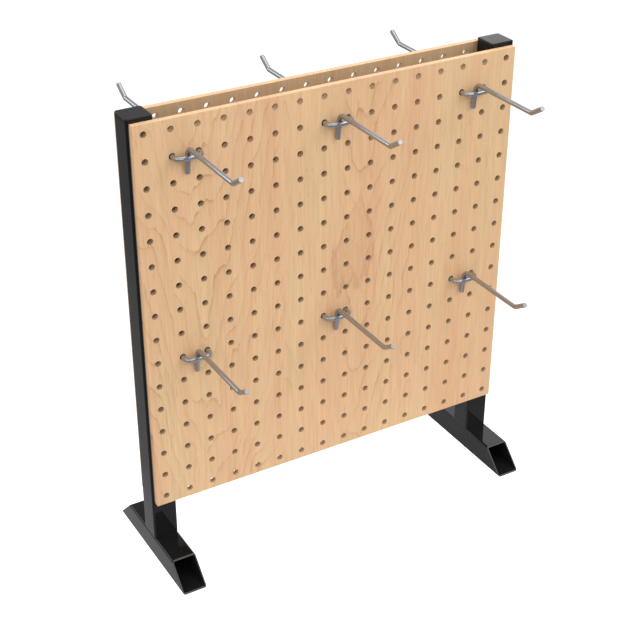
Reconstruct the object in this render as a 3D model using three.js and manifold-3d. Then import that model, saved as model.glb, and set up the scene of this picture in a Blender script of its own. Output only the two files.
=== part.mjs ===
// Two-sided pegboard display for a shop counter.
// Two square boards of perforated plywood are fixed to the front and back of two square steel uprights.
// Each upright is welded onto a mitred steel foot and closed with a plastic cap.
// Twelve wire hooks sit in the boards' holes, and each one lifts out by turning upwards.
// The frame is in millimetres: +X runs to the right, +Y to the back and +Z up.
// The origin is on the counter, midway between the feet.
import * as THREE from "three";
import { mergeVertices } from "three/addons/utils/BufferGeometryUtils.js";
import Module from "manifold-3d";

const wasm = await Module();
wasm.setup();

// Driving dimensions
const INCH = 25.4;
const GRID_PITCH = INCH; // between neighbouring holes
const HOLES_PER_SIDE = 16;
const HOLE_ACROSS_FLATS = 6.1; // clears the prong of a hook as it turns
const HOLE_SIDES = 6;
const TUBE_SIZE = INCH;
const TUBE_CORNER = 2.2;
const TUBE_WALL = 1.4;
const CORNER_STEPS = 3; // flats round each corner of the tube
const STAND_WIDTH = 16 * INCH;
const BOARD_WIDTH = 401.4;
const BOARD_HEIGHT = 400.2;
const BOARD_THICKNESS = 6;
const BOARD_CENTRE_HEIGHT = 269.7;
const TAPE_LAYER = 0.35; // space that the mounting tape fills between board and upright
const FOOT_LENGTH = 6 * INCH; // along the counter
const CAP_HEIGHT = 4.1;
const CAP_EDGE = 1.2;
const CAP_EDGE_STEPS = 2;
const PLUG_DEPTH = 15;
const PLUG_WALL = 2;
const PLUG_CORNER_STEPS = 2;
const PLUG_GAP = 0.3; // to the tube's inner wall, all round
const SEAM = 0.05; // between pieces that rest on each other
const SAME_POINT = 1e-3; // points of a wire closer than this are one
const SAME_VERTEX = 1e-4; // the same for the corners of a solid
const WIRE_DIAMETER = 4.76;
const WIRE_SIDES = 8;
const BEND_STEPS = 3; // straight pieces in each bend
const HOOK_COLUMNS = { left: -6 * INCH, middle: 0, right: 6 * INCH };
const HOOK_ROWS = { top: 6.5 * INCH, bottom: -1.5 * INCH }; // from the boards' centre

// Hook dimensions, seen from the side of a front hook.
// "out" is the distance in front of the board's face and "up" the height above its holes.
const LEG_FOOT = { out: 2.65, up: -17.3 };
const LEG_AT_HOLES = { out: 4.75, up: 0 };
const ARM_HEIGHT = 7.65;
const ARM_BEND = 7.5;
const TIP_BEND = { out: 90.5, radius: 4 };
const TIP_END = { out: 105.3, up: 17 };
const CROSSBAR_OUT = 9.65;
const CROSSBAR_BEND = 6;
const PRONG_BEND = 12; // the hook turns about the centre of this bend
const PRONG_ANGLE = THREE.MathUtils.degToRad(55);

const uprightX = (STAND_WIDTH - TUBE_SIZE) / 2;
const boardTop = BOARD_CENTRE_HEIGHT + BOARD_HEIGHT / 2;
const boardInnerY = TUBE_SIZE / 2 + TAPE_LAYER;
const boardFaceY = boardInnerY + BOARD_THICKNESS;

const veneer = { color: 0xdfb78c, roughness: 0.55, metalness: 0 };
const blackPaint = { color: 0x121213, roughness: 0.22, metalness: 0.1 };
const blackPlastic = { color: 0x232324, roughness: 0.6, metalness: 0 };
const steelWire = { color: 0xb9bab9, roughness: 0.3, metalness: 1 };
const foamTape = { color: 0x8c8c88, roughness: 0.9, metalness: 0 };

function piece(name, geometry, finish) {
  const mesh = new THREE.Mesh(geometry, new THREE.MeshStandardMaterial(finish));
  mesh.name = name;
  return mesh;
}

// Solids for the boolean cuts and joins

function toSolid(geometry) {
  const bare = geometry.clone();
  bare.deleteAttribute("normal");
  bare.deleteAttribute("uv");
  const merged = mergeVertices(bare, SAME_VERTEX);
  return new wasm.Manifold(
    new wasm.Mesh({
      numProp: 3,
      vertProperties: merged.attributes.position.array,
      triVerts: new Uint32Array(merged.index.array),
    }),
  );
}

function toGeometry(solid) {
  const { vertProperties, triVerts } = solid.getMesh();
  const geometry = new THREE.BufferGeometry();
  geometry.setAttribute("position", new THREE.BufferAttribute(vertProperties, 3));
  geometry.setIndex(new THREE.BufferAttribute(triVerts, 1));
  geometry.computeVertexNormals();
  return geometry;
}

// Outlines

function roundedSquare(size, corner, Outline = THREE.Shape) {
  const edge = size / 2;
  const straight = edge - corner;
  const outline = new Outline();
  outline.moveTo(edge, -straight);
  outline.lineTo(edge, straight);
  outline.absarc(straight, straight, corner, 0, Math.PI / 2);
  outline.lineTo(-straight, edge);
  outline.absarc(-straight, straight, corner, Math.PI / 2, Math.PI);
  outline.lineTo(-edge, -straight);
  outline.absarc(-straight, -straight, corner, Math.PI, 1.5 * Math.PI);
  outline.lineTo(straight, -edge);
  outline.absarc(straight, -straight, corner, 1.5 * Math.PI, 2 * Math.PI);
  return outline;
}

function tubeSection() {
  const section = roundedSquare(TUBE_SIZE, TUBE_CORNER);
  section.holes.push(
    roundedSquare(TUBE_SIZE - 2 * TUBE_WALL, TUBE_CORNER - TUBE_WALL, THREE.Path),
  );
  return section;
}

function polygonOutline(x, y, radius, sides, Outline) {
  const outline = new Outline();
  for (let i = 0; i <= sides; i += 1) {
    const angle = (2 * Math.PI * (i % sides)) / sides;
    const corner = [x + radius * Math.cos(angle), y + radius * Math.sin(angle)];
    if (i === 0) outline.moveTo(...corner);
    else outline.lineTo(...corner);
  }
  return outline;
}

// Stand

function uprightGeometry() {
  const bottom = TUBE_SIZE + SEAM;
  return new THREE.ExtrudeGeometry(tubeSection(), {
    depth: boardTop - SEAM - bottom,
    bevelEnabled: false,
    curveSegments: CORNER_STEPS,
  }).translate(0, 0, bottom);
}

// The tube lies along Y, and its ends lean in by their height to make the 45 degree mitres.
function footGeometry() {
  const geometry = new THREE.ExtrudeGeometry(tubeSection(), {
    depth: FOOT_LENGTH,
    bevelEnabled: false,
    curveSegments: CORNER_STEPS,
  });
  geometry.translate(0, 0, -FOOT_LENGTH / 2);
  geometry.rotateX(Math.PI / 2);
  geometry.translate(0, 0, TUBE_SIZE / 2);
  const position = geometry.attributes.position;
  for (let i = 0; i < position.count; i += 1) {
    const end = Math.sign(position.getY(i));
    position.setY(i, end * (FOOT_LENGTH / 2 - position.getZ(i)));
  }
  return geometry;
}

// A head with a rounded upper edge, and a hollow plug below it that fits inside the tube.
function capGeometry() {
  const head = new THREE.ExtrudeGeometry(
    roundedSquare(TUBE_SIZE - 2 * CAP_EDGE, TUBE_CORNER - CAP_EDGE),
    {
      depth: CAP_HEIGHT,
      bevelThickness: CAP_EDGE,
      bevelSize: CAP_EDGE,
      bevelSegments: CAP_EDGE_STEPS,
      curveSegments: CORNER_STEPS,
    },
  ).translate(0, 0, -CAP_EDGE);
  const below = new THREE.BoxGeometry(2 * TUBE_SIZE, 2 * TUBE_SIZE, TUBE_SIZE);
  below.translate(0, 0, -TUBE_SIZE / 2);
  const plugSize = TUBE_SIZE - 2 * TUBE_WALL - 2 * PLUG_GAP;
  const plug = new THREE.ExtrudeGeometry(roundedSquare(plugSize, TUBE_CORNER - TUBE_WALL), {
    depth: PLUG_DEPTH + CAP_HEIGHT / 2,
    bevelEnabled: false,
    curveSegments: PLUG_CORNER_STEPS,
  }).translate(0, 0, -PLUG_DEPTH);
  const hollowSize = plugSize - 2 * PLUG_WALL;
  const hollow = new THREE.BoxGeometry(hollowSize, hollowSize, 2 * PLUG_DEPTH);
  hollow.translate(0, 0, -PLUG_DEPTH - PLUG_WALL);
  return toGeometry(
    toSolid(head).subtract(toSolid(below)).add(toSolid(plug)).subtract(toSolid(hollow)),
  );
}

function boardGeometry() {
  const board = new THREE.Shape();
  board.moveTo(-BOARD_WIDTH / 2, -BOARD_HEIGHT / 2);
  board.lineTo(BOARD_WIDTH / 2, -BOARD_HEIGHT / 2);
  board.lineTo(BOARD_WIDTH / 2, BOARD_HEIGHT / 2);
  board.lineTo(-BOARD_WIDTH / 2, BOARD_HEIGHT / 2);
  board.closePath();
  const firstHole = (-(HOLES_PER_SIDE - 1) * GRID_PITCH) / 2;
  const holeRadius = HOLE_ACROSS_FLATS / 2 / Math.cos(Math.PI / HOLE_SIDES);
  for (let row = 0; row < HOLES_PER_SIDE; row += 1) {
    for (let column = 0; column < HOLES_PER_SIDE; column += 1) {
      const x = firstHole + column * GRID_PITCH;
      const y = firstHole + row * GRID_PITCH;
      board.holes.push(polygonOutline(x, y, holeRadius, HOLE_SIDES, THREE.Path));
    }
  }
  return new THREE.ExtrudeGeometry(board, { depth: BOARD_THICKNESS, bevelEnabled: false })
    .rotateX(Math.PI / 2)
    .translate(0, BOARD_THICKNESS / 2, 0);
}

// Tape between a board and an upright, as wide as the flat of the tube.
function tapeGeometry() {
  return new THREE.BoxGeometry(
    TUBE_SIZE - 2 * TUBE_CORNER,
    TAPE_LAYER - 2 * SEAM,
    BOARD_HEIGHT - 2 * TUBE_CORNER,
  );
}

// Wires

// The centre line of a bent wire: straight runs between rounded corners.
// Its stations are only the ends of the runs and the steps round each bend.
class BentWire extends THREE.Curve {
  constructor(corners, radii, stepsPerBend) {
    super();
    this.stations = [{ point: corners[0], tangent: direction(corners[0], corners[1]) }];
    for (let i = 1; i < corners.length - 1; i += 1) {
      this.addBend(corners[i - 1], corners[i], corners[i + 1], radii[i - 1], stepsPerBend);
    }
    const last = corners[corners.length - 1];
    const lastTangent = direction(corners[corners.length - 2], last);
    if (this.lastStation().point.distanceTo(last) > SAME_POINT) {
      this.stations.push({ point: last, tangent: lastTangent });
    }
  }

  lastStation() {
    return this.stations[this.stations.length - 1];
  }

  addBend(before, corner, after, radius, steps) {
    const incoming = direction(before, corner);
    const outgoing = direction(corner, after);
    const turn = incoming.angleTo(outgoing);
    const inward = outgoing.clone().addScaledVector(incoming, -outgoing.dot(incoming)).normalize();
    const start = corner.clone().addScaledVector(incoming, -radius * Math.tan(turn / 2));
    const startsHere = this.lastStation().point.distanceTo(start) < SAME_POINT;
    for (let step = startsHere ? 1 : 0; step <= steps; step += 1) {
      const angle = (turn * step) / steps;
      this.stations.push({
        point: start
          .clone()
          .addScaledVector(incoming, radius * Math.sin(angle))
          .addScaledVector(inward, radius * (1 - Math.cos(angle))),
        tangent: incoming
          .clone()
          .multiplyScalar(Math.cos(angle))
          .addScaledVector(inward, Math.sin(angle)),
      });
    }
  }

  stationAt(u) {
    return this.stations[Math.round(u * (this.stations.length - 1))];
  }

  getPoint(t, target = new THREE.Vector3()) {
    return target.copy(this.stationAt(t).point);
  }

  getPointAt(u, target = new THREE.Vector3()) {
    return target.copy(this.stationAt(u).point);
  }

  getTangentAt(u, target = new THREE.Vector3()) {
    return target.copy(this.stationAt(u).tangent);
  }
}

function direction(from, to) {
  return to.clone().sub(from).normalize();
}

function wireGeometry(path) {
  const section = polygonOutline(0, 0, WIRE_DIAMETER / 2, WIRE_SIDES, THREE.Shape);
  return new THREE.ExtrudeGeometry(section, {
    steps: path.stations.length - 1,
    extrudePath: path,
  });
}

// A point of a front hook, whose board face is the plane y = 0 and whose holes are at z = 0.
function hookPoint(x, out, up) {
  return new THREE.Vector3(x, -out, up);
}

// Leg, arm and raised tip, bent from one wire.
function armGeometry() {
  const lean = (LEG_AT_HOLES.out - LEG_FOOT.out) / (LEG_AT_HOLES.up - LEG_FOOT.up);
  const legTopOut = LEG_AT_HOLES.out + lean * ARM_HEIGHT;
  const path = new BentWire(
    [
      hookPoint(0, LEG_FOOT.out, LEG_FOOT.up),
      hookPoint(0, legTopOut, ARM_HEIGHT),
      hookPoint(0, TIP_BEND.out, ARM_HEIGHT),
      hookPoint(0, TIP_END.out, TIP_END.up),
    ],
    [ARM_BEND, TIP_BEND.radius],
    BEND_STEPS,
  );
  return wireGeometry(path);
}

// Crossbar in front of the leg, with a prong at each end that turns up behind the board.
function crossbarGeometry() {
  const halfSpan = GRID_PITCH / 2;
  const cornerBehind = BOARD_THICKNESS / 2 + PRONG_BEND * Math.tan(PRONG_ANGLE / 2);
  const prongEndBehind = BOARD_THICKNESS / 2 + PRONG_BEND * Math.sin(PRONG_ANGLE);
  const prongEndUp = PRONG_BEND * (1 - Math.cos(PRONG_ANGLE));
  const path = new BentWire(
    [
      hookPoint(-halfSpan, -prongEndBehind, prongEndUp),
      hookPoint(-halfSpan, -cornerBehind, 0),
      hookPoint(-halfSpan, CROSSBAR_OUT, 0),
      hookPoint(halfSpan, CROSSBAR_OUT, 0),
      hookPoint(halfSpan, -cornerBehind, 0),
      hookPoint(halfSpan, -prongEndBehind, prongEndUp),
    ],
    [PRONG_BEND, CROSSBAR_BEND, CROSSBAR_BEND, PRONG_BEND],
    BEND_STEPS,
  );
  return wireGeometry(path);
}

// Assembly

function buildStand() {
  const stand = new THREE.Group();
  for (const [side, sign] of Object.entries({ left: -1, right: 1 })) {
    const upright = piece(`${side}_upright`, uprightGeometry(), blackPaint);
    const foot = piece(`${side}_foot`, footGeometry(), blackPaint);
    const cap = piece(`${side}_cap`, capGeometry(), blackPlastic);
    cap.position.z = boardTop;
    const post = new THREE.Group();
    post.add(upright, foot, cap);
    for (const [face, faceSign] of Object.entries({ front: -1, back: 1 })) {
      const tape = piece(`${side}_${face}_tape`, tapeGeometry(), foamTape);
      tape.position.set(0, faceSign * (TUBE_SIZE + TAPE_LAYER) / 2, BOARD_CENTRE_HEIGHT);
      post.add(tape);
    }
    post.position.x = sign * uprightX;
    stand.add(post);
  }
  for (const [face, faceSign] of Object.entries({ front: -1, back: 1 })) {
    const board = piece(`${face}_board`, boardGeometry(), veneer);
    board.position.set(0, faceSign * (boardInnerY + BOARD_THICKNESS / 2), BOARD_CENTRE_HEIGHT);
    stand.add(board);
  }
  return stand;
}

// Hooks of one board, in the front board's place; turned half round they are the back board's.
function buildHooks(face) {
  const hooks = new THREE.Group();
  for (const [row, height] of Object.entries(HOOK_ROWS)) {
    for (const [column, x] of Object.entries(HOOK_COLUMNS)) {
      const hook = new THREE.Group();
      const name = `${face}_${row}_${column}`;
      hook.add(piece(`${name}_arm`, armGeometry(), steelWire));
      hook.add(piece(`${name}_crossbar`, crossbarGeometry(), steelWire));
      hook.position.set(face === "front" ? x : -x, -boardFaceY, BOARD_CENTRE_HEIGHT + height);
      hooks.add(hook);
    }
  }
  if (face === "back") hooks.rotation.z = Math.PI;
  return hooks;
}

const display = new THREE.Group();
display.add(buildStand(), buildHooks("front"), buildHooks("back"));

export default display;
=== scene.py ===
import math

import bmesh
import bpy
from mathutils import Matrix, Vector


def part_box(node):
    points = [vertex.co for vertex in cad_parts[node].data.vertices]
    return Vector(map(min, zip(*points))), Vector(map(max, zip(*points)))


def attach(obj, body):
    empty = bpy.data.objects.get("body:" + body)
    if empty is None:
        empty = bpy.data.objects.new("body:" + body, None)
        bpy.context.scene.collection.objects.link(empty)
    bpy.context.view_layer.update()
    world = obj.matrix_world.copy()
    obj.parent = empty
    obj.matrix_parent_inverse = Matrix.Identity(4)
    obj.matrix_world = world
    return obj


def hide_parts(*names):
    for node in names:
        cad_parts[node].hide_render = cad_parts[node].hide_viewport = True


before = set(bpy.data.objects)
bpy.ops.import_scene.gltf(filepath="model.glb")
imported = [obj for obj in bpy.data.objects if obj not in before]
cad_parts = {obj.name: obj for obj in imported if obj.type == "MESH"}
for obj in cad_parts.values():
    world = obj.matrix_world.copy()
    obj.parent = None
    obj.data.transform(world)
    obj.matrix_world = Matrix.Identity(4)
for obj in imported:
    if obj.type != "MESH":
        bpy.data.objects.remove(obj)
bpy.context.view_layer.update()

# Two-sided pegboard display for a shop counter: maple boards, black steel posts, steel wire hooks.
# Metres throughout. +X runs to the right, +Y to the back and +Z up from the counter.

# Boards
GRID_PITCH = 0.0254
HOLES_PER_SIDE = 16
HOLE_RADIUS = 0.003175
HOLE_SIDES = 16
HOLE_RIM = 0.0001  # broken edge of each hole
BOARD_EDGE = 0.0004
BOARD_EDGE_STEPS = 2
SAME_CORNER = 1e-5  # neighbouring cells of the grid join here
WALL_LEAN = 0.5  # a face whose normal leans less than this to Y is the wall of a hole

# Posts
TUBE_SIZE = 0.0254
TUBE_CORNER = 0.0022
TUBE_WALL = 0.0014
CORNER_STEPS = 5
MITRE_EDGE = 0.00015  # broken edge of the mitres
CAP_EDGE = 0.0012
CAP_STEPS = 4
PLUG_INSET = 0.0017  # from the side of the head to the side of the plug
PLUG_WALL = 0.002
PLUG_FLOOR = 0.001

# Hooks, seen from the side: "out" is in front of the board's face and "up" is above its holes
WIRE_RADIUS = 0.00238
WIRE_SIDES = 20
BEND_STEP = math.radians(7.5)
WIRE_END_EDGE = 0.00035
WIRE_END_STEPS = 2
LEG_FOOT = (0.00265, -0.0173)
LEG_AT_HOLES = (0.00475, 0.0)
ARM_HEIGHT = 0.00765
ARM_BEND = 0.0075
TIP_BEND_OUT = 0.0905
TIP_BEND = 0.004
TIP_END = (0.1053, 0.017)
CROSSBAR_OUT = 0.00965
CROSSBAR_BEND = 0.006
PRONG_BEND = 0.012
PRONG_ANGLE = math.radians(55)
WELD_SIZE = (0.0017, 0.0009, 0.0015)
WELD_SIDES = 16
WELD_RINGS = 10
HOOK_COLUMNS = {"left": -6 * GRID_PITCH, "middle": 0.0, "right": 6 * GRID_PITCH}
HOOK_ROWS = {"top": 6.5 * GRID_PITCH, "bottom": -1.5 * GRID_PITCH}

SMOOTH_ANGLE = math.radians(35)
SAME_PLACE = 1e-6


def linear(red, green, blue):
    """A colour given as 0 to 255 screen values, in the linear values that shaders take."""
    values = []
    for screen in (red, green, blue):
        share = screen / 255
        values.append(share / 12.92 if share <= 0.04045 else ((share + 0.055) / 1.055) ** 2.4)
    return (*values, 1.0)


# Materials

NODE_STEP = (240, 360)
NOISE_LOW = 0.3
NOISE_HIGH = 0.7
RANGE_LIMITS = ("From Min", "From Max", "To Min", "To Max")


def empty_material(name):
    material = bpy.data.materials.new(name)
    material.use_nodes = True
    material.node_tree.nodes.clear()
    return material, material.node_tree.nodes, material.node_tree.links


def lay_out(groups):
    """Sets each group of nodes in its own row, in its own frame."""
    for row, (group, members) in enumerate(groups):
        for column, node in enumerate(members):
            node.parent = group
            node.location = (column * NODE_STEP[0], -row * NODE_STEP[1])


# Pale wood, warm wood and the lines of late wood
LACQUERED_TONES = (linear(232, 197, 150), linear(230, 181, 139), linear(180, 112, 72))
# Darker, greyer tones for the faces towards the other board: painted shade of the narrow gap
# between the boards.
GAP_SHADE_TONES = (linear(204, 175, 138), linear(195, 161, 125), linear(166, 130, 98))
MAPLE_FLECK = linear(176, 126, 92)


def maple(name, shift, turn, depth, tones):
    """Maple with cathedral figure, shifted and turned on the board. The lines have a depth."""
    material, nodes, links = empty_material(name)

    place_group = nodes.new("NodeFrame")
    place_group.label = "Place on the board"
    object_place = nodes.new("ShaderNodeTexCoord")
    object_place.label = "Object coordinates"
    figure_place = nodes.new("ShaderNodeMapping")
    figure_place.label = "Moves the figure on the board"
    figure_place.inputs["Location"].default_value = shift
    figure_place.inputs["Rotation"].default_value = (0.0, 0.0, turn)
    slow_place = nodes.new("ShaderNodeMapping")
    slow_place.label = "Draws the wander out along the grain"
    slow_place.inputs["Scale"].default_value = (1.0, 0.3, 0.32)
    wander = nodes.new("ShaderNodeTexNoise")
    wander.label = "Wander of the growth rings"
    wander.inputs["Scale"].default_value = 13.0
    wander.inputs["Detail"].default_value = 4.0
    wander.inputs["Roughness"].default_value = 0.55
    wander_centre = nodes.new("ShaderNodeVectorMath")
    wander_centre.label = "Wander to either side"
    wander_centre.operation = "SUBTRACT"
    wander_centre.inputs[1].default_value = (0.5, 0.5, 0.5)
    wander_size = nodes.new("ShaderNodeVectorMath")
    wander_size.label = "Size of the wander"
    wander_size.operation = "MULTIPLY"
    wander_size.inputs[1].default_value = (0.03, 0.0, 0.12)
    wandered = nodes.new("ShaderNodeVectorMath")
    wandered.label = "Wandering place"
    wandered.operation = "ADD"
    axes = nodes.new("ShaderNodeSeparateXYZ")
    axes.label = "Across and along the grain"
    links.new(object_place.outputs["Object"], figure_place.inputs["Vector"])
    links.new(figure_place.outputs["Vector"], slow_place.inputs["Vector"])
    links.new(slow_place.outputs["Vector"], wander.inputs["Vector"])
    links.new(wander.outputs["Color"], wander_centre.inputs[0])
    links.new(wander_centre.outputs["Vector"], wander_size.inputs[0])
    links.new(figure_place.outputs["Vector"], wandered.inputs[0])
    links.new(wander_size.outputs["Vector"], wandered.inputs[1])
    links.new(wandered.outputs["Vector"], axes.inputs["Vector"])

    rings_group = nodes.new("NodeFrame")
    rings_group.label = "Cathedral figure"
    heart = nodes.new("ShaderNodeMath")
    heart.label = "From the heart of the left cathedral"
    heart.operation = "ADD"
    heart.inputs[1].default_value = 0.141
    fold = nodes.new("ShaderNodeMath")
    fold.label = "Distance to the nearest heart"
    fold.operation = "PINGPONG"
    fold.inputs[1].default_value = 0.085
    round_tip = nodes.new("ShaderNodeMath")
    round_tip.label = "Rounds the tips"
    round_tip.operation = "SMOOTH_MAX"
    round_tip.inputs[1].default_value = 0.008
    round_tip.inputs[2].default_value = 0.02
    across = nodes.new("ShaderNodeMath")
    across.label = "Rings across the grain"
    across.operation = "MULTIPLY"
    across.inputs[1].default_value = 1 / 0.0105
    straight = nodes.new("ShaderNodeMapRange")
    straight.label = "Straight grain on the right"
    straight.interpolation_type = "SMOOTHSTEP"
    along = nodes.new("ShaderNodeMath")
    along.label = "Rings along the grain"
    along.operation = "MULTIPLY"
    ring_sum = nodes.new("ShaderNodeMath")
    ring_sum.label = "Ring count"
    ring_sum.operation = "ADD"
    jag_place = nodes.new("ShaderNodeMapping")
    jag_place.label = "Jags drawn out along the grain"
    jag_place.inputs["Scale"].default_value = (1.0, 0.3, 0.24)
    jag = nodes.new("ShaderNodeTexNoise")
    jag.label = "Jags of the ring lines"
    jag.inputs["Scale"].default_value = 130.0
    jag.inputs["Detail"].default_value = 6.0
    jag.inputs["Roughness"].default_value = 0.62
    jag_size = nodes.new("ShaderNodeMath")
    jag_size.label = "Size of the jags"
    jag_size.operation = "MULTIPLY"
    jag_size.inputs[1].default_value = 0.6
    uneven = nodes.new("ShaderNodeMath")
    uneven.label = "Wide and narrow years"
    uneven.operation = "MULTIPLY_ADD"
    uneven.inputs[1].default_value = 5.0
    jagged = nodes.new("ShaderNodeMath")
    jagged.label = "Jagged ring count"
    jagged.operation = "ADD"
    ring_share = nodes.new("ShaderNodeMath")
    ring_share.label = "Share of one ring"
    ring_share.operation = "FRACT"
    ring_tone = nodes.new("ShaderNodeValToRGB")
    ring_tone.label = "Sharp late wood, soft early wood"
    ring_tone.color_ramp.elements[0].color = (0.05, 0.05, 0.05, 1)
    ring_tone.color_ramp.elements[1].color = (0.0, 0.0, 0.0, 1)
    for place, tone in ((0.03, 1.0), (0.07, 0.75), (0.14, 0.25), (0.5, 0.07)):
        ring_tone.color_ramp.elements.new(place).color = (tone, tone, tone, 1)
    patch = nodes.new("ShaderNodeTexNoise")
    patch.label = "Where the figure shows"
    patch.inputs["Scale"].default_value = 20.0
    patch.inputs["Detail"].default_value = 2.0
    patch_range = nodes.new("ShaderNodeMapRange")
    patch_range.label = "Faint and strong figure"
    spread_range = nodes.new("ShaderNodeMapRange")
    spread_range.label = "Share of the board's width"
    spread = nodes.new("ShaderNodeValToRGB")
    spread.label = "Strong at the hearts, faint between"
    spread.color_ramp.elements[0].position = 0.31
    spread.color_ramp.elements[0].color = (1.0, 1.0, 1.0, 1)
    spread.color_ramp.elements[1].position = 0.76
    spread.color_ramp.elements[1].color = (0.25, 0.25, 0.25, 1)
    for place, tone in ((0.4, 0.25), (0.49, 0.25), (0.54, 1.0), (0.65, 0.9)):
        spread.color_ramp.elements.new(place).color = (tone, tone, tone, 1)
    spread_figure = nodes.new("ShaderNodeMath")
    spread_figure.label = "Lines near the hearts"
    spread_figure.operation = "MULTIPLY"
    figure = nodes.new("ShaderNodeMath")
    figure.label = "Figure where it shows"
    figure.operation = "MULTIPLY"
    breaks = nodes.new("ShaderNodeMapRange")
    breaks.label = "Where the lines break up"
    for mapped, *limits in (
        (straight, 0.07, 0.12, -1 / 0.042, -1 / 0.5),
        (patch_range, 0.4, 0.6, 0.3, 1.0),
        (spread_range, -0.2, 0.2, 0.0, 1.0),
        (breaks, 0.4, 0.58, 0.35, 1.0),
    ):
        for limit, value in zip(RANGE_LIMITS, limits):
            mapped.inputs[limit].default_value = value
    broken = nodes.new("ShaderNodeMath")
    broken.label = "Broken lines"
    broken.operation = "MULTIPLY"
    figure_depth = nodes.new("ShaderNodeMath")
    figure_depth.label = "Depth of the figure"
    figure_depth.operation = "MULTIPLY"
    figure_depth.inputs[1].default_value = depth
    links.new(axes.outputs["X"], heart.inputs[0])
    links.new(heart.outputs["Value"], fold.inputs[0])
    links.new(fold.outputs["Value"], round_tip.inputs[0])
    links.new(round_tip.outputs["Value"], across.inputs[0])
    links.new(axes.outputs["X"], straight.inputs["Value"])
    links.new(axes.outputs["Z"], along.inputs[0])
    links.new(straight.outputs["Result"], along.inputs[1])
    links.new(across.outputs["Value"], ring_sum.inputs[0])
    links.new(along.outputs["Value"], ring_sum.inputs[1])
    links.new(figure_place.outputs["Vector"], jag_place.inputs["Vector"])
    links.new(jag_place.outputs["Vector"], jag.inputs["Vector"])
    links.new(jag.outputs["Fac"], jag_size.inputs[0])
    links.new(patch.outputs["Fac"], uneven.inputs[0])
    links.new(ring_sum.outputs["Value"], uneven.inputs[2])
    links.new(uneven.outputs["Value"], jagged.inputs[0])
    links.new(jag_size.outputs["Value"], jagged.inputs[1])
    links.new(jagged.outputs["Value"], ring_share.inputs[0])
    links.new(ring_share.outputs["Value"], ring_tone.inputs["Fac"])
    links.new(slow_place.outputs["Vector"], patch.inputs["Vector"])
    links.new(patch.outputs["Fac"], patch_range.inputs["Value"])
    links.new(axes.outputs["X"], spread_range.inputs["Value"])
    links.new(spread_range.outputs["Result"], spread.inputs["Fac"])
    links.new(ring_tone.outputs["Color"], spread_figure.inputs[0])
    links.new(spread.outputs["Color"], spread_figure.inputs[1])
    links.new(spread_figure.outputs["Value"], figure.inputs[0])
    links.new(patch_range.outputs["Result"], figure.inputs[1])
    links.new(jag.outputs["Fac"], breaks.inputs["Value"])
    links.new(figure.outputs["Value"], broken.inputs[0])
    links.new(breaks.outputs["Result"], broken.inputs[1])
    links.new(broken.outputs["Value"], figure_depth.inputs[0])

    flame_group = nodes.new("NodeFrame")
    flame_group.label = "Flame in the middle"
    flame_place = nodes.new("ShaderNodeMapping")
    flame_place.label = "From the middle of the flame"
    flame_place.vector_type = "TEXTURE"
    flame_place.inputs["Location"].default_value = (0.022, 0.0, 0.045)
    flame_place.inputs["Rotation"].default_value = (0.0, 0.1, 0.0)
    flame_axes = nodes.new("ShaderNodeSeparateXYZ")
    flame_axes.label = "Across and along the flame"
    flame_width = nodes.new("ShaderNodeMath")
    flame_width.label = "Narrows to a point at the top"
    flame_width.operation = "MULTIPLY_ADD"
    flame_width.inputs[1].default_value = -0.3
    flame_width.inputs[2].default_value = 0.0165
    flame_open = nodes.new("ShaderNodeMath")
    flame_open.label = "Never closes"
    flame_open.operation = "MAXIMUM"
    flame_open.inputs[1].default_value = 0.001
    flame_across = nodes.new("ShaderNodeMath")
    flame_across.label = "Share of the width"
    flame_across.operation = "DIVIDE"
    flame_along = nodes.new("ShaderNodeMath")
    flame_along.label = "Share of the height"
    flame_along.operation = "DIVIDE"
    flame_along.inputs[1].default_value = 0.06
    flame_shares = nodes.new("ShaderNodeCombineXYZ")
    flame_shares.label = "Place in flame sizes"
    flame_distance = nodes.new("ShaderNodeVectorMath")
    flame_distance.label = "Distance in flame sizes"
    flame_distance.operation = "LENGTH"
    flame_edge = nodes.new("ShaderNodeMath")
    flame_edge.label = "Jagged edge"
    flame_edge.operation = "MULTIPLY_ADD"
    flame_edge.inputs[1].default_value = 0.6
    flame_tone = nodes.new("ShaderNodeValToRGB")
    flame_tone.label = "Warm inside, dark line at the edge"
    flame_tone.color_ramp.elements[0].color = (0.06, 0.06, 0.06, 1)
    flame_tone.color_ramp.elements[1].position = 0.92
    flame_tone.color_ramp.elements[1].color = (0.0, 0.0, 0.0, 1)
    for place, tone in ((0.8, 0.13), (0.89, 0.38)):
        flame_tone.color_ramp.elements.new(place).color = (tone, tone, tone, 1)
    flame_figure = nodes.new("ShaderNodeMath")
    flame_figure.label = "Flame with the rings"
    flame_figure.operation = "MAXIMUM"
    links.new(wandered.outputs["Vector"], flame_place.inputs["Vector"])
    links.new(flame_place.outputs["Vector"], flame_axes.inputs["Vector"])
    links.new(flame_axes.outputs["Z"], flame_width.inputs[0])
    links.new(flame_width.outputs["Value"], flame_open.inputs[0])
    links.new(flame_axes.outputs["X"], flame_across.inputs[0])
    links.new(flame_open.outputs["Value"], flame_across.inputs[1])
    links.new(flame_axes.outputs["Z"], flame_along.inputs[0])
    links.new(flame_across.outputs["Value"], flame_shares.inputs["X"])
    links.new(flame_along.outputs["Value"], flame_shares.inputs["Z"])
    links.new(flame_shares.outputs["Vector"], flame_distance.inputs[0])
    links.new(flame_distance.outputs["Value"], flame_edge.inputs[0])
    links.new(jag_size.outputs["Value"], flame_edge.inputs[2])
    links.new(flame_edge.outputs["Value"], flame_tone.inputs["Fac"])
    links.new(figure_depth.outputs["Value"], flame_figure.inputs[0])
    links.new(flame_tone.outputs["Color"], flame_figure.inputs[1])

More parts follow.
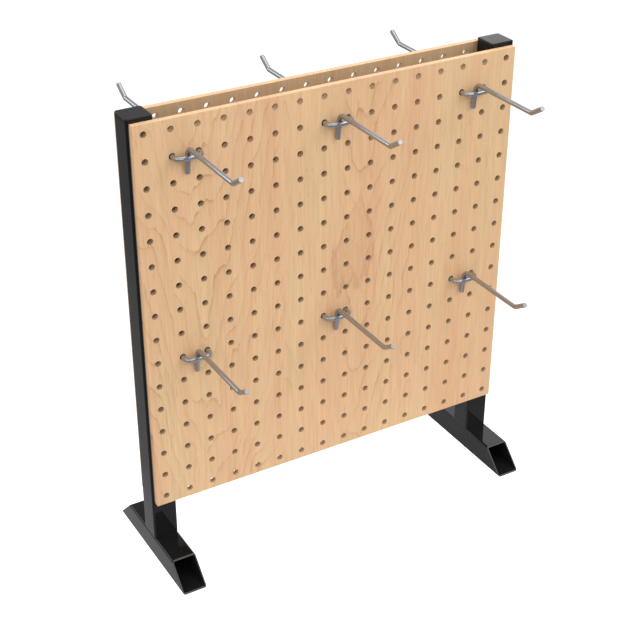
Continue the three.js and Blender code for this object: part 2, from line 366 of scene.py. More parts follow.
    bands_group = nodes.new("NodeFrame")
    bands_group.label = "Soft bands"
    bands_place = nodes.new("ShaderNodeMapping")
    bands_place.label = "Long bands up the board"
    bands_place.inputs["Scale"].default_value = (1.0, 0.2, 0.07)
    bands = nodes.new("ShaderNodeTexNoise")
    bands.label = "Pale and warm bands"
    bands.inputs["Scale"].default_value = 38.0
    bands.inputs["Detail"].default_value = 4.0
    bands.inputs["Roughness"].default_value = 0.55
    bands_range = nodes.new("ShaderNodeMapRange")
    bands_range.label = "Contrast of the bands"
    bands_range.inputs["From Min"].default_value = 0.26
    bands_range.inputs["From Max"].default_value = 0.74
    ground = nodes.new("ShaderNodeMix")
    ground.label = "Pale to warm maple"
    ground.data_type = "RGBA"
    ground.inputs["A"].default_value = tones[0]
    ground.inputs["B"].default_value = tones[1]
    figured = nodes.new("ShaderNodeMix")
    figured.label = "Figure over the ground"
    figured.data_type = "RGBA"
    figured.inputs["B"].default_value = tones[2]
    links.new(wandered.outputs["Vector"], bands_place.inputs["Vector"])
    links.new(bands_place.outputs["Vector"], bands.inputs["Vector"])
    links.new(bands.outputs["Fac"], bands_range.inputs["Value"])
    links.new(bands_range.outputs["Result"], ground.inputs["Factor"])
    links.new(flame_figure.outputs["Value"], figured.inputs["Factor"])
    links.new(ground.outputs["Result"], figured.inputs["A"])

    fibre_group = nodes.new("NodeFrame")
    fibre_group.label = "Fibres and flecks"
    fibre_place = nodes.new("ShaderNodeMapping")
    fibre_place.label = "Fibres run up the board"
    fibre_place.inputs["Scale"].default_value = (1.0, 1.0, 0.035)
    fibres = nodes.new("ShaderNodeTexNoise")
    fibres.label = "Fine fibres"
    fibres.inputs["Scale"].default_value = 520.0
    fibres.inputs["Detail"].default_value = 4.0
    fibres.inputs["Roughness"].default_value = 0.6
    fibre_tone = nodes.new("ShaderNodeMapRange")
    fibre_tone.label = "Tone of the fibres"
    fibred = nodes.new("ShaderNodeMix")
    fibred.label = "Fibres over the figure"
    fibred.data_type = "RGBA"
    fibred.blend_type = "MULTIPLY"
    fibred.inputs["Factor"].default_value = 1.0
    streak_place = nodes.new("ShaderNodeMapping")
    streak_place.label = "Streaks along the grain"
    streak_place.inputs["Scale"].default_value = (1.0, 1.0, 0.06)
    streaks = nodes.new("ShaderNodeTexNoise")
    streaks.label = "Mottled streaks"
    streaks.inputs["Scale"].default_value = 240.0
    streaks.inputs["Detail"].default_value = 5.0
    streaks.inputs["Roughness"].default_value = 0.7
    streak_tone = nodes.new("ShaderNodeMapRange")
    streak_tone.label = "Tone of the streaks"
    streaked = nodes.new("ShaderNodeMix")
    streaked.label = "Streaks over the fibres"
    streaked.data_type = "RGBA"
    streaked.blend_type = "MULTIPLY"
    streaked.inputs["Factor"].default_value = 1.0
    fleck_place = nodes.new("ShaderNodeMapping")
    fleck_place.label = "Flecks along the grain"
    fleck_place.inputs["Scale"].default_value = (1.0, 1.0, 0.16)
    flecks = nodes.new("ShaderNodeTexNoise")
    flecks.label = "Flecks"
    flecks.inputs["Scale"].default_value = 450.0
    flecks.inputs["Detail"].default_value = 2.0
    fleck_range = nodes.new("ShaderNodeMapRange")
    fleck_range.label = "Only a few flecks"
    for mapped, *limits in (
        (fibre_tone, NOISE_LOW, NOISE_HIGH, 0.92, 1.06),
        (streak_tone, NOISE_LOW, NOISE_HIGH, 0.94, 1.05),
        (fleck_range, 0.64, 0.76, 0.0, 0.25),
    ):
        for limit, value in zip(RANGE_LIMITS, limits):
            mapped.inputs[limit].default_value = value
    flecked = nodes.new("ShaderNodeMix")
    flecked.label = "Flecks over the fibres"
    flecked.data_type = "RGBA"
    flecked.inputs["B"].default_value = MAPLE_FLECK
    links.new(figure_place.outputs["Vector"], fibre_place.inputs["Vector"])
    links.new(fibre_place.outputs["Vector"], fibres.inputs["Vector"])
    links.new(fibres.outputs["Fac"], fibre_tone.inputs["Value"])
    links.new(figured.outputs["Result"], fibred.inputs["A"])
    links.new(fibre_tone.outputs["Result"], fibred.inputs["B"])
    links.new(figure_place.outputs["Vector"], fleck_place.inputs["Vector"])
    links.new(fleck_place.outputs["Vector"], flecks.inputs["Vector"])
    links.new(flecks.outputs["Fac"], fleck_range.inputs["Value"])
    links.new(fleck_range.outputs["Result"], flecked.inputs["Factor"])
    links.new(wandered.outputs["Vector"], streak_place.inputs["Vector"])
    links.new(streak_place.outputs["Vector"], streaks.inputs["Vector"])
    links.new(streaks.outputs["Fac"], streak_tone.inputs["Value"])
    links.new(fibred.outputs["Result"], streaked.inputs["A"])
    links.new(streak_tone.outputs["Result"], streaked.inputs["B"])
    links.new(streaked.outputs["Result"], flecked.inputs["A"])

    finish_group = nodes.new("NodeFrame")
    finish_group.label = "Satin lacquer"
    sheen = nodes.new("ShaderNodeMapRange")
    sheen.label = "Lacquer sinks into the open fibres"
    for limit, value in zip(RANGE_LIMITS, (NOISE_LOW, NOISE_HIGH, 0.56, 0.44)):
        sheen.inputs[limit].default_value = value
    relief = nodes.new("ShaderNodeBump")
    relief.label = "Fibres felt through the lacquer"
    relief.inputs["Strength"].default_value = 0.12
    relief.inputs["Distance"].default_value = 0.0002
    surface = nodes.new("ShaderNodeBsdfPrincipled")
    surface.label = "Lacquered maple"
    surface.inputs["IOR"].default_value = 1.45
    output = nodes.new("ShaderNodeOutputMaterial")
    output.label = "Board"
    links.new(fibres.outputs["Fac"], sheen.inputs["Value"])
    links.new(fibres.outputs["Fac"], relief.inputs["Height"])
    links.new(flecked.outputs["Result"], surface.inputs["Base Color"])
    links.new(sheen.outputs["Result"], surface.inputs["Roughness"])
    links.new(relief.outputs["Normal"], surface.inputs["Normal"])
    links.new(surface.outputs["BSDF"], output.inputs["Surface"])

    lay_out((
        (place_group, (object_place, figure_place, slow_place, wander, wander_centre,
                       wander_size, wandered, axes)),
        (rings_group, (heart, fold, round_tip, across, straight, along, ring_sum, jag_place, jag,
                       jag_size, uneven, jagged, ring_share, ring_tone, spread_range, spread,
                       spread_figure, patch, patch_range, figure, breaks, broken, figure_depth)),
        (flame_group, (flame_place, flame_axes, flame_width, flame_open, flame_across, flame_along,
                       flame_shares, flame_distance, flame_edge, flame_tone, flame_figure)),
        (bands_group, (bands_place, bands, bands_range, ground, figured)),
        (fibre_group, (fibre_place, fibres, fibre_tone, fibred, streak_place, streaks, streak_tone,
                       streaked, fleck_place, flecks, fleck_range, flecked)),
        (finish_group, (sheen, relief, surface, output)),
    ))
    return material


def drilled_maple(name):
    """The bare wood inside the drilled holes."""
    material, nodes, links = empty_material(name)

    core_group = nodes.new("NodeFrame")
    core_group.label = "Layers through the thickness"
    object_place = nodes.new("ShaderNodeTexCoord")
    object_place.label = "Object coordinates"
    layers = nodes.new("ShaderNodeTexWave")
    layers.label = "Layers of wood and drill marks"
    layers.bands_direction = "Y"
    layers.inputs["Scale"].default_value = 160.0
    layers.inputs["Distortion"].default_value = 1.5
    layers.inputs["Detail"].default_value = 3.0
    layers.inputs["Detail Scale"].default_value = 2.0
    layer_tone = nodes.new("ShaderNodeMix")
    layer_tone.label = "Pale and dark layers"
    layer_tone.data_type = "RGBA"
    layer_tone.inputs["A"].default_value = linear(200, 172, 140)
    layer_tone.inputs["B"].default_value = linear(214, 185, 150)
    links.new(object_place.outputs["Object"], layers.inputs["Vector"])
    links.new(layers.outputs["Fac"], layer_tone.inputs["Factor"])

    fuzz_group = nodes.new("NodeFrame")
    fuzz_group.label = "Rough cut fibres"
    fuzz = nodes.new("ShaderNodeTexNoise")
    fuzz.label = "Torn fibres"
    fuzz.inputs["Scale"].default_value = 1400.0
    fuzz.inputs["Detail"].default_value = 3.0
    relief = nodes.new("ShaderNodeBump")
    relief.label = "Relief of the cut"
    relief.inputs["Strength"].default_value = 0.35
    relief.inputs["Distance"].default_value = 0.0002
    surface = nodes.new("ShaderNodeBsdfPrincipled")
    surface.label = "Bare drilled maple"
    surface.inputs["Roughness"].default_value = 0.8
    output = nodes.new("ShaderNodeOutputMaterial")
    output.label = "Hole wall"
    links.new(object_place.outputs["Object"], fuzz.inputs["Vector"])
    links.new(fuzz.outputs["Fac"], relief.inputs["Height"])
    links.new(layer_tone.outputs["Result"], surface.inputs["Base Color"])
    links.new(relief.outputs["Normal"], surface.inputs["Normal"])
    links.new(surface.outputs["BSDF"], output.inputs["Surface"])

    lay_out((
        (core_group, (object_place, layers, layer_tone)),
        (fuzz_group, (fuzz, relief, surface, output)),
    ))
    return material


def black_finish(name, shade, patch_shade, gloss, grain_scale, grain_relief):
    """Black paint or black moulded plastic: shade, range of roughness and surface grain."""
    material, nodes, links = empty_material(name)

    tone_group = nodes.new("NodeFrame")
    tone_group.label = "Depth of the black"
    object_place = nodes.new("ShaderNodeTexCoord")
    object_place.label = "Object coordinates"
    cloud = nodes.new("ShaderNodeTexNoise")
    cloud.label = "Slow change over the surface"
    cloud.inputs["Scale"].default_value = 24.0
    cloud.inputs["Detail"].default_value = 4.0
    black = nodes.new("ShaderNodeMix")
    black.label = "Deep and thin black"
    black.data_type = "RGBA"
    black.inputs["A"].default_value = shade
    black.inputs["B"].default_value = patch_shade
    polish = nodes.new("ShaderNodeMapRange")
    polish.label = "Range of roughness"
    for limit, value in zip(RANGE_LIMITS, (NOISE_LOW, NOISE_HIGH, *gloss)):
        polish.inputs[limit].default_value = value
    links.new(object_place.outputs["Object"], cloud.inputs["Vector"])
    links.new(cloud.outputs["Fac"], black.inputs["Factor"])
    links.new(cloud.outputs["Fac"], polish.inputs["Value"])

    grain_group = nodes.new("NodeFrame")
    grain_group.label = "Surface grain"
    grain = nodes.new("ShaderNodeTexNoise")
    grain.label = "Fine grain of the surface"
    grain.inputs["Scale"].default_value = grain_scale
    grain.inputs["Detail"].default_value = 2.0
    relief = nodes.new("ShaderNodeBump")
    relief.label = "Relief of the grain"
    relief.inputs["Strength"].default_value = grain_relief
    relief.inputs["Distance"].default_value = 0.0001
    surface = nodes.new("ShaderNodeBsdfPrincipled")
    surface.label = "Black surface"
    surface.inputs["IOR"].default_value = 1.36
    output = nodes.new("ShaderNodeOutputMaterial")
    output.label = "Post"
    links.new(object_place.outputs["Object"], grain.inputs["Vector"])
    links.new(grain.outputs["Fac"], relief.inputs["Height"])
    links.new(black.outputs["Result"], surface.inputs["Base Color"])
    links.new(polish.outputs["Result"], surface.inputs["Roughness"])
    links.new(relief.outputs["Normal"], surface.inputs["Normal"])
    links.new(surface.outputs["BSDF"], output.inputs["Surface"])

    lay_out((
        (tone_group, (object_place, cloud, black, polish)),
        (grain_group, (grain, relief, surface, output)),
    ))
    return material


def steel(name, bright, dull, gloss, streaks):
    """Plated steel wire whose drawing lines follow the wire, or its sheared end."""
    material, nodes, links = empty_material(name)

    lines_group = nodes.new("NodeFrame")
    lines_group.label = "Drawing lines"
    along_wire = nodes.new("ShaderNodeAttribute")
    along_wire.label = "Place on the straight wire"
    along_wire.attribute_name = "unbent"
    line_place = nodes.new("ShaderNodeMapping")
    line_place.label = "Lines as long as the dies left them"
    line_place.inputs["Scale"].default_value = streaks
    lines = nodes.new("ShaderNodeTexNoise")
    lines.label = "Drawing lines"
    lines.inputs["Scale"].default_value = 2200.0
    lines.inputs["Detail"].default_value = 3.0
    links.new(along_wire.outputs["Vector"], line_place.inputs["Vector"])
    links.new(line_place.outputs["Vector"], lines.inputs["Vector"])

    plate_group = nodes.new("NodeFrame")
    plate_group.label = "Bright plating"
    object_place = nodes.new("ShaderNodeTexCoord")
    object_place.label = "Object coordinates"
    cloud = nodes.new("ShaderNodeTexNoise")
    cloud.label = "Cloudy plating"
    cloud.inputs["Scale"].default_value = 260.0
    cloud.inputs["Detail"].default_value = 4.0
    plating = nodes.new("ShaderNodeMix")
    plating.label = "Bright and dull plating"
    plating.data_type = "RGBA"
    plating.inputs["A"].default_value = bright
    plating.inputs["B"].default_value = dull
    polish = nodes.new("ShaderNodeMapRange")
    polish.label = "Lines scatter the shine"
    for limit, value in zip(RANGE_LIMITS, (NOISE_LOW, NOISE_HIGH, *gloss)):
        polish.inputs[limit].default_value = value
    relief = nodes.new("ShaderNodeBump")
    relief.label = "Relief of the lines"
    relief.inputs["Strength"].default_value = 0.02
    relief.inputs["Distance"].default_value = 0.00003
    surface = nodes.new("ShaderNodeBsdfPrincipled")
    surface.label = "Plated steel"
    surface.inputs["Metallic"].default_value = 0.86
    output = nodes.new("ShaderNodeOutputMaterial")
    output.label = "Wire"
    links.new(object_place.outputs["Object"], cloud.inputs["Vector"])
    links.new(cloud.outputs["Fac"], plating.inputs["Factor"])
    links.new(lines.outputs["Fac"], polish.inputs["Value"])
    links.new(lines.outputs["Fac"], relief.inputs["Height"])
    links.new(plating.outputs["Result"], surface.inputs["Base Color"])
    links.new(polish.outputs["Result"], surface.inputs["Roughness"])
    links.new(relief.outputs["Normal"], surface.inputs["Normal"])
    links.new(surface.outputs["BSDF"], output.inputs["Surface"])

    lay_out((
        (lines_group, (along_wire, line_place, lines)),
        (plate_group, (object_place, cloud, plating, polish, relief, surface, output)),
    ))
    return material


def foam_tape(name):
    """Closed-cell mounting foam between post and board."""
    material, nodes, links = empty_material(name)

    foam_group = nodes.new("NodeFrame")
    foam_group.label = "Foam cells"
    object_place = nodes.new("ShaderNodeTexCoord")
    object_place.label = "Object coordinates"
    cells = nodes.new("ShaderNodeTexVoronoi")
    cells.label = "Closed cells"
    cells.inputs["Scale"].default_value = 2400.0
    tone = nodes.new("ShaderNodeMix")
    tone.label = "Cell walls and hollows"
    tone.data_type = "RGBA"
    tone.inputs["A"].default_value = linear(96, 96, 92)
    tone.inputs["B"].default_value = linear(142, 142, 137)
    relief = nodes.new("ShaderNodeBump")
    relief.label = "Relief of the cells"
    relief.inputs["Strength"].default_value = 0.4
    relief.inputs["Distance"].default_value = 0.0002
    surface = nodes.new("ShaderNodeBsdfPrincipled")
    surface.label = "Mounting foam"
    surface.inputs["Roughness"].default_value = 0.9
    output = nodes.new("ShaderNodeOutputMaterial")
    output.label = "Tape"
    links.new(object_place.outputs["Object"], cells.inputs["Vector"])
    links.new(cells.outputs["Distance"], tone.inputs["Factor"])
    links.new(cells.outputs["Distance"], relief.inputs["Height"])
    links.new(tone.outputs["Result"], surface.inputs["Base Color"])
    links.new(relief.outputs["Normal"], surface.inputs["Normal"])
    links.new(surface.outputs["BSDF"], output.inputs["Surface"])

    lay_out(((foam_group, (object_place, cells, tone, relief, surface, output)),))
    return material


front_maple = maple("front_board_maple", (0.0, 0.0, -0.27), 0.0, 0.62, LACQUERED_TONES)
back_maple = maple("back_board_maple", (0.0, 0.7, -0.52), math.pi, 0.62, LACQUERED_TONES)
# The faces towards the other board get darker tones: painted shade of the gap between the boards.
gap_shaded_maple = maple("gap_shade_board_maple", (0.05, 1.4, 0.6), 0.0, 0.4, GAP_SHADE_TONES)
hole_maple = drilled_maple("drilled_maple")
gloss_black = black_finish(
    "gloss_black_paint", linear(14, 14, 15), linear(20, 20, 21), (0.04, 0.09), 900.0, 0.02
)
matt_black = black_finish(
    "matt_black_plastic", linear(15, 15, 16), linear(20, 20, 21), (0.3, 0.4), 2600.0, 0.3
)
# Dull finish for the inside of the foot tubes; its near-black tone is painted shade of the bore.
bore_painted_shade = black_finish(
    "bore_painted_shade_black", linear(3, 3, 3), linear(6, 6, 5), (0.85, 1.0), 1500.0, 0.3
)
wire_steel = steel(
    "plated_wire", linear(174, 177, 181), linear(160, 163, 167), (0.26, 0.32), (1.0, 1.0, 0.02)
)
sheared_steel = steel(
    "sheared_wire_end", linear(178, 180, 181), linear(164, 166, 168), (0.4, 0.55), (1.0, 0.15, 1.0)
)
mounting_foam = foam_tape("mounting_foam")


# Pieces

def add_piece(name, bm, materials, body, slot, *nodes):
    """Turns a finished bmesh into a piece that rides on a body and stands for CAD nodes."""
    bmesh.ops.remove_doubles(bm, verts=bm.verts, dist=SAME_PLACE)
    bmesh.ops.recalc_face_normals(bm, faces=bm.faces)
    for face in bm.faces:
        face.smooth = True
    for edge in bm.edges:
        edge.smooth = len(edge.link_faces) == 2 and edge.calc_face_angle() < SMOOTH_ANGLE
    mesh = bpy.data.meshes.new(name)
    bm.to_mesh(mesh)
    bm.free()
    for material in materials:
        mesh.materials.append(material)
    piece = bpy.data.objects.new(name, mesh)
    bpy.context.scene.collection.objects.link(piece)
    flat_faces = piece.modifiers.new("flat_faces_stay_flat", "WEIGHTED_NORMAL")
    flat_faces.keep_sharp = True
    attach(piece, body)
    if nodes:
        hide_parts(*nodes)


def everything(bm):
    return list(bm.verts) + list(bm.edges) + list(bm.faces)


def only(kind, items):
    return [item for item in items if isinstance(item, kind)]


def quarter_turn(bm, verts, axis, turns=1):
    """Turns vertices about an axis through the origin by quarter turns."""
    matrix = Matrix.Rotation(turns * math.pi / 2, 3, axis)
    bmesh.ops.rotate(bm, verts=verts, cent=(0, 0, 0), matrix=matrix)


def raise_face_region(bm, faces, vec, **options):
    """Extrudes faces by a vector and gives what the extrusion made."""
    made = bmesh.ops.extrude_face_region(bm, geom=faces, **options)["geom"]
    bmesh.ops.translate(bm, verts=only(bmesh.types.BMVert, made), vec=vec)
    return made


def rounded_square(bm, size, corner):
    """A face around the origin in the XY plane, with rounded corners."""
    bmesh.ops.create_circle(bm, segments=4, radius=size / math.sqrt(2), cap_ends=True)
    quarter_turn(bm, bm.verts, "Z", 0.5)
    bmesh.ops.bevel(
        bm,
        geom=list(bm.verts),
        offset=corner,
        offset_type="OFFSET",
        affect="VERTICES",
        segments=CORNER_STEPS,
        profile=0.5,
        material=-1,
    )
    return bm.faces[:][0]


def square_tube(bm, length):
    """A round-cornered square tube from the origin up +Z, open at both ends."""
    section = rounded_square(bm, TUBE_SIZE, TUBE_CORNER)
    wall = bmesh.ops.inset_individual(
        bm, faces=[section], thickness=TUBE_WALL, use_even_offset=True
    )["faces"]
    bmesh.ops.delete(bm, geom=[section], context="FACES_ONLY")
    raise_face_region(bm, wall, (0, 0, length), use_keep_orig=True)
    bmesh.ops.recalc_face_normals(bm, faces=bm.faces)


def bevel_edges(bm, edges, size, steps):
    bmesh.ops.bevel(
        bm,
        geom=edges,
        offset=size,
        offset_type="OFFSET",
        affect="EDGES",
        segments=steps,
        profile=0.5,
        material=-1,
    )


def upright(side):
    node = f"{side}_upright"
    low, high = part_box(node)
    bm = bmesh.new()
    square_tube(bm, high.z - low.z)
    bmesh.ops.translate(bm, verts=bm.verts, vec=((low.x + high.x) / 2, 0, low.z))
    add_piece(f"{side}_upright_tube", bm, [gloss_black], "stand", "black_paint", node)


def foot(side):
    """A tube along Y whose ends are cut back at 45 degrees."""
    node = f"{side}_foot"
    low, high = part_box(node)
    bm = bmesh.new()
    square_tube(bm, high.y - low.y)
    quarter_turn(bm, bm.verts, "X", -1)
    centre = ((low.x + high.x) / 2, low.y, (low.z + high.z) / 2)
    bmesh.ops.translate(bm, verts=bm.verts, vec=centre)
    for vert in bm.verts:
        vert.co.y = math.copysign(high.y - (vert.co.z - low.z), vert.co.y)
    end_rims = [
        edge for edge in bm.edges
        if edge.verts[0].co.y * edge.verts[1].co.y > 0
        and edge.calc_face_angle() > SMOOTH_ANGLE
    ]
    bevel_edges(bm, end_rims, MITRE_EDGE, 1)
    # Faces inside the tube take the near-black bore finish, painted shade of the hollow.
    inner_reach = TUBE_SIZE / 2 - TUBE_WALL + SAME_PLACE
    for face in bm.faces:
        if all(
            abs(vert.co.x - centre[0]) < inner_reach and abs(vert.co.z - centre[2]) < inner_reach
            for vert in face.verts
        ):
            face.material_index = 1
    add_piece(f"{side}_foot_tube", bm, [gloss_black, bore_painted_shade], "stand", "black_paint", node)


def end_cap(side):
    """A head with a rounded top edge, over a hollow plug that pushes into the tube."""
    node = f"{side}_cap"
    low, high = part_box(node)
    head_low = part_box("front_board")[1].z
    bm = bmesh.new()
    bottom = rounded_square(bm, TUBE_SIZE, TUBE_CORNER)
    head = raise_face_region(bm, [bottom], (0, 0, high.z - head_low), use_keep_orig=True)
    bmesh.ops.recalc_face_normals(bm, faces=bm.faces)
    top_rim = [edge for edge in bm.edges if all(vert in head for vert in edge.verts)]
    bottom = min(bm.faces, key=lambda face: face.calc_center_median().z)
    bmesh.ops.inset_individual(bm, faces=[bottom], thickness=PLUG_INSET, use_even_offset=True)
    lowered = raise_face_region(bm, [bottom], (0, 0, low.z - head_low))
    plug = only(bmesh.types.BMFace, lowered)
    bmesh.ops.inset_individual(bm, faces=plug, thickness=PLUG_WALL, use_even_offset=True)
    raise_face_region(bm, plug, (0, 0, head_low - low.z - PLUG_FLOOR))
    bevel_edges(bm, top_rim, CAP_EDGE, CAP_STEPS)
    bmesh.ops.translate(bm, verts=bm.verts, vec=((low.x + high.x) / 2, 0, head_low))
    add_piece(f"{side}_end_cap", bm, [matt_black], "stand", "black_plastic", node)


def board(face_name, outward, wood):
    """A board drilled on a square grid, with its outer face towards outward on Y."""
    node = f"{face_name}_board"
    low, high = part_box(node)
    centre = (low + high) / 2
    bm = bmesh.new()
    bmesh.ops.create_circle(bm, segments=HOLE_SIDES, radius=HOLE_RADIUS, cap_ends=False)
    cell = bmesh.ops.create_circle(
        bm, segments=4, radius=GRID_PITCH / math.sqrt(2), cap_ends=False
    )["verts"]
    quarter_turn(bm, cell, "Z", 0.5)
    cell_edges = list({edge for vert in cell for edge in vert.link_edges})
    bmesh.ops.subdivide_edges(bm, edges=cell_edges, cuts=HOLE_SIDES // 4 - 1)
    bmesh.ops.bridge_loops(bm, edges=list(bm.edges))
    quarter_turn(bm, bm.verts, "X")

    first = -(HOLES_PER_SIDE - 1) / 2 * GRID_PITCH
    start = Vector((centre.x + first, low.y, centre.z + first))
    bmesh.ops.translate(bm, verts=bm.verts, vec=start)
    for step in (Vector((GRID_PITCH, 0, 0)), Vector((0, 0, GRID_PITCH))):
        original = everything(bm)
        for count in range(1, HOLES_PER_SIDE):
            copied = bmesh.ops.duplicate(bm, geom=original)["geom"]
            bmesh.ops.translate(bm, verts=only(bmesh.types.BMVert, copied), vec=step * count)
    bmesh.ops.remove_doubles(bm, verts=bm.verts, dist=SAME_CORNER)
    for corner, direction in ((low, Vector((-1, 0, 0))), (low, Vector((0, 0, -1))),
                              (high, Vector((1, 0, 0))), (high, Vector((0, 0, 1)))):
        bmesh.ops.bisect_plane(
            bm, geom=everything(bm), plane_co=corner, plane_no=direction, clear_outer=True
        )

    raise_face_region(bm, list(bm.faces), (0, high.y - low.y, 0), use_keep_orig=True)
    bmesh.ops.recalc_face_normals(bm, faces=bm.faces)

    outer_y = low.y if outward < 0 else high.y
    reach_x = (high.x - low.x) / 2 - SAME_PLACE
    reach_z = (high.z - low.z) / 2 - SAME_PLACE
    hole_rims, outline = [], []
    for edge in bm.edges:
        if edge.calc_face_angle() < SMOOTH_ANGLE:
            continue
        middle = (edge.verts[0].co + edge.verts[1].co) / 2 - centre
        if abs(middle.x) > reach_x or abs(middle.z) > reach_z:
            outline.append(edge)
        elif abs(edge.verts[0].co.y - outer_y) < SAME_PLACE:
            hole_rims.append(edge)
    bevel_edges(bm, hole_rims, HOLE_RIM, 1)
    bevel_edges(bm, outline, BOARD_EDGE, BOARD_EDGE_STEPS)
    for face in bm.faces:
        middle = face.calc_center_median() - centre
        inside = abs(middle.x) < reach_x - BOARD_EDGE and abs(middle.z) < reach_z - BOARD_EDGE
        if inside and abs(face.normal.y) < WALL_LEAN:
            face.material_index = 1
        elif inside and (middle.y + centre.y - outer_y) * outward < -BOARD_EDGE:
            face.material_index = 2
    # Slot 2, the faces towards the other board, takes the darker tones as painted shade of the gap
    # between the boards.
    finishes = [wood, hole_maple, gap_shaded_maple]
    add_piece(f"{face_name}_pegboard", bm, finishes, "stand", "maple_veneer", node)


def bent_wire(bm, corners, radii):
    """Runs a round section along straight legs and round the corners between them."""
    unbent = bm.verts.layers.float_vector.new("unbent")
    heading = (corners[1] - corners[0]).normalized()
    ring = bmesh.ops.create_circle(bm, segments=WIRE_SIDES, radius=WIRE_RADIUS, cap_ends=False)
    for vert in ring["verts"]:
        vert[unbent] = vert.co
    stand_up = heading.to_track_quat("Z", "Y").to_matrix().to_4x4()
    bmesh.ops.transform(
        bm, verts=ring["verts"], matrix=Matrix.Translation(corners[0]) @ stand_up
    )
    ring_verts = list(ring["verts"])
    ring_edges = list(bm.edges)
    first_edges = list(ring_edges)
    here = corners[0].copy()
    for index, corner in enumerate(corners[1:]):
        last = index == len(radii)
        back_off = 0.0
        if not last:
            after = (corners[index + 2] - corner).normalized()
            turn = heading.angle(after)
            back_off = radii[index] * math.tan(turn / 2)
        run = (corner - here).length - back_off
        if run > SAME_PLACE:
            grown = bmesh.ops.extrude_edge_only(bm, edges=ring_edges)["geom"]
            ring_verts = only(bmesh.types.BMVert, grown)
            ring_edges = [
                edge for edge in only(bmesh.types.BMEdge, grown)
                if all(vert in ring_verts for vert in edge.verts)
            ]
            bmesh.ops.translate(bm, verts=ring_verts, vec=heading * run)
            for vert in ring_verts:
                vert[unbent] = vert[unbent] + Vector((0, 0, run))
        here = here + heading * run
        if last:
            break
        axis = heading.cross(after).normalized()
        centre = here + axis.cross(heading) * radii[index]
        steps = math.ceil(turn / BEND_STEP)
        for _ in range(steps):
            spun = bmesh.ops.spin(
                bm,
                geom=ring_verts + ring_edges,
                cent=centre,
                axis=axis,
                dvec=(0, 0, 0),
                angle=turn / steps,
                steps=1,
                use_merge=False,
                use_normal_flip=False,
                use_duplicate=False,
            )["geom_last"]
            ring_verts = only(bmesh.types.BMVert, spun)
            ring_edges = only(bmesh.types.BMEdge, spun)
            for vert in ring_verts:
                vert[unbent] = vert[unbent] + Vector((0, 0, radii[index] * turn / steps))
        here = Matrix.Rotation(turn, 3, axis) @ (here - centre) + centre
        heading = after
    for loop in (first_edges, ring_edges):
        bmesh.ops.edgeloop_fill(bm, edges=loop, mat_nr=1)
    bmesh.ops.recalc_face_normals(bm, faces=bm.faces)
    bevel_edges(bm, first_edges + ring_edges, WIRE_END_EDGE, WIRE_END_STEPS)


def at_hook(x, out, up):
    """A point of a front hook. The board's face is the plane y = 0 and the holes are at z = 0."""
    return Vector((x, -out, up))


def arm_wire():
    """Leg, arm and raised tip."""
    lean = (LEG_AT_HOLES[0] - LEG_FOOT[0]) / (LEG_AT_HOLES[1] - LEG_FOOT[1])
    bm = bmesh.new()
    bent_wire(
        bm,
        [
            at_hook(0, *LEG_FOOT),
            at_hook(0, LEG_AT_HOLES[0] + lean * ARM_HEIGHT, ARM_HEIGHT),
            at_hook(0, TIP_BEND_OUT, ARM_HEIGHT),
            at_hook(0, *TIP_END),
        ],
        [ARM_BEND, TIP_BEND],
    )
    return bm


def crossbar_wire(board_thickness):
    """Crossbar in front of the leg, with a prong at each end that turns up behind the board."""
    half_span = GRID_PITCH / 2
    corner_behind = board_thickness / 2 + PRONG_BEND * math.tan(PRONG_ANGLE / 2)
    end_behind = board_thickness / 2 + PRONG_BEND * math.sin(PRONG_ANGLE)
    end_up = PRONG_BEND * (1 - math.cos(PRONG_ANGLE))
    bm = bmesh.new()
    bent_wire(
        bm,
        [
            at_hook(-half_span, -end_behind, end_up),
            at_hook(-half_span, -corner_behind, 0),
            at_hook(-half_span, CROSSBAR_OUT, 0),
            at_hook(half_span, CROSSBAR_OUT, 0),
            at_hook(half_span, -corner_behind, 0),
            at_hook(half_span, -end_behind, end_up),
        ],
        [PRONG_BEND, CROSSBAR_BEND, CROSSBAR_BEND, PRONG_BEND],
    )
    return bm


def weld():
    """The spot weld squeezed out between leg and crossbar."""
    bm = bmesh.new()
    bmesh.ops.create_uvsphere(bm, u_segments=WELD_SIDES, v_segments=WELD_RINGS, radius=1.0)
    bmesh.ops.scale(bm, verts=bm.verts, vec=WELD_SIZE)
    between_wires = at_hook(0, (LEG_AT_HOLES[0] + CROSSBAR_OUT) / 2, 0)
    bmesh.ops.translate(bm, verts=bm.verts, vec=between_wires)
    unbent = bm.verts.layers.float_vector.new("unbent")
    for vert in bm.verts:
        vert[unbent] = vert.co
    return bm


def hook(face_name, row, column):
    """One hook: three pieces that turn together."""
    name = f"{face_name}_{row}_{column}"
    low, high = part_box(f"{face_name}_board")
    centre = (low + high) / 2
    x, height = HOOK_COLUMNS[column], centre.z + HOOK_ROWS[row]
    if face_name == "front":
        place = Matrix.Translation((x, low.y, height))
    else:
        place = Matrix.Translation((x, high.y, height)) @ Matrix.Rotation(math.pi, 4, "Z")
    finishes = [wire_steel, sheared_steel]
    body = f"{name}_hook"
    for part, bm, nodes in (
        ("arm_wire", arm_wire(), [f"{name}_arm"]),
        ("crossbar_wire", crossbar_wire(high.y - low.y), [f"{name}_crossbar"]),
        ("weld", weld(), []),
    ):
        bmesh.ops.transform(bm, verts=bm.verts, matrix=place)
        add_piece(f"{name}_{part}", bm, finishes, body, "steel_wire", *nodes)


for side in ("left", "right"):
    upright(side)
    foot(side)
    end_cap(side)
    for face_name in ("front", "back"):
        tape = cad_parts[f"{side}_{face_name}_tape"]
        tape.data.materials.clear()
        tape.data.materials.append(mounting_foam)
board("front", -1, front_maple)
board("back", 1, back_maple)
for face_name in ("front", "back"):
    for row in HOOK_ROWS:
        for column in HOOK_COLUMNS:
            hook(face_name, row, column)


# Camera

CAMERA_PLACE = Vector((-0.6094, -1.02595, 0.9138))
CAMERA_HEADING = Vector((0.4333, 0.7497, -0.5002))

